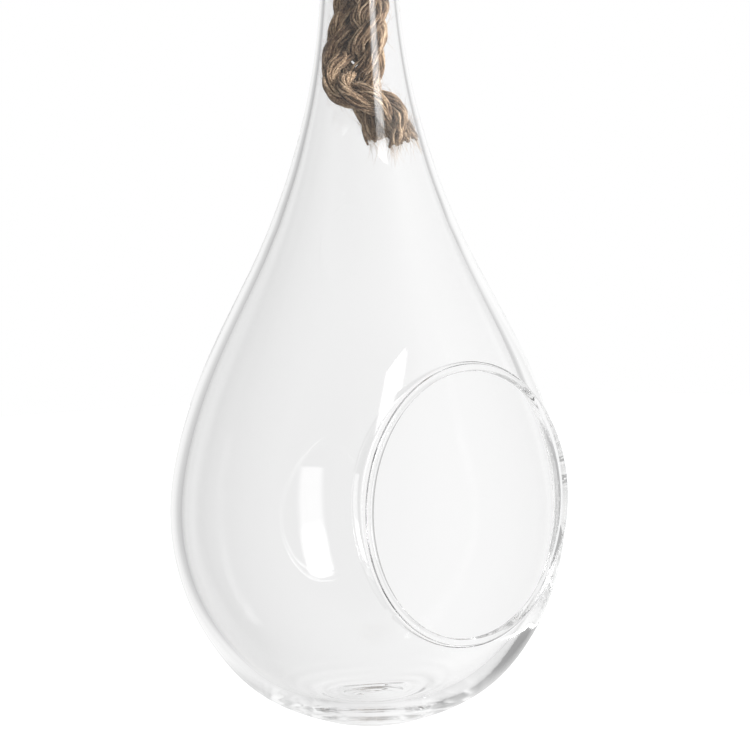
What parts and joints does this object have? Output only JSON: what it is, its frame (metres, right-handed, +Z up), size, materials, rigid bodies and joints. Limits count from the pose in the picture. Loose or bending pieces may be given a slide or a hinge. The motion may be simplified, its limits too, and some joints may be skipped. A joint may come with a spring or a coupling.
{
  "type": "hanging glass vase",
  "caption": "Teardrop vessel of clear blown glass with a round side opening, hung by its narrow neck from a thick jute rope loop that is knotted inside the neck",
  "frame": {"origin": "The inside top of the rope loop's eye, on the vessel's axis, where a hook or branch carries it", "axes": "+Z up along the vessel's axis, the side opening faces -Y, the loop's plane is turned 45 degrees from the opening about Z"},
  "size_m": [0.15, 0.131, 0.406],
  "materials": {
    "clear_glass": "clear, colourless blown glass with fire-polished edges",
    "jute_rope": "natural brown three-strand jute, matt and hairy"
  },
  "bodies": {
    "rope_loop": {"hanging_loop": "jute_rope"},
    "rope_knot": {"knot_straight_end": "jute_rope", "knot_bowed_end": "jute_rope"},
    "vessel": {"glass_vessel": "clear_glass"}
  },
  "joints": [
    {"name": "pendant_turn", "type": "hinge", "parent": "rope_loop", "child": "rope_knot", "pos_m": [0, 0, -0.095], "axis": [0, 0, 1], "range_deg": [-180, 180]},
    {"name": "vessel_lift", "type": "slide", "parent": "rope_knot", "child": "vessel", "axis": [0, 0, 1], "range_m": [0, 0.038]}
  ]
}
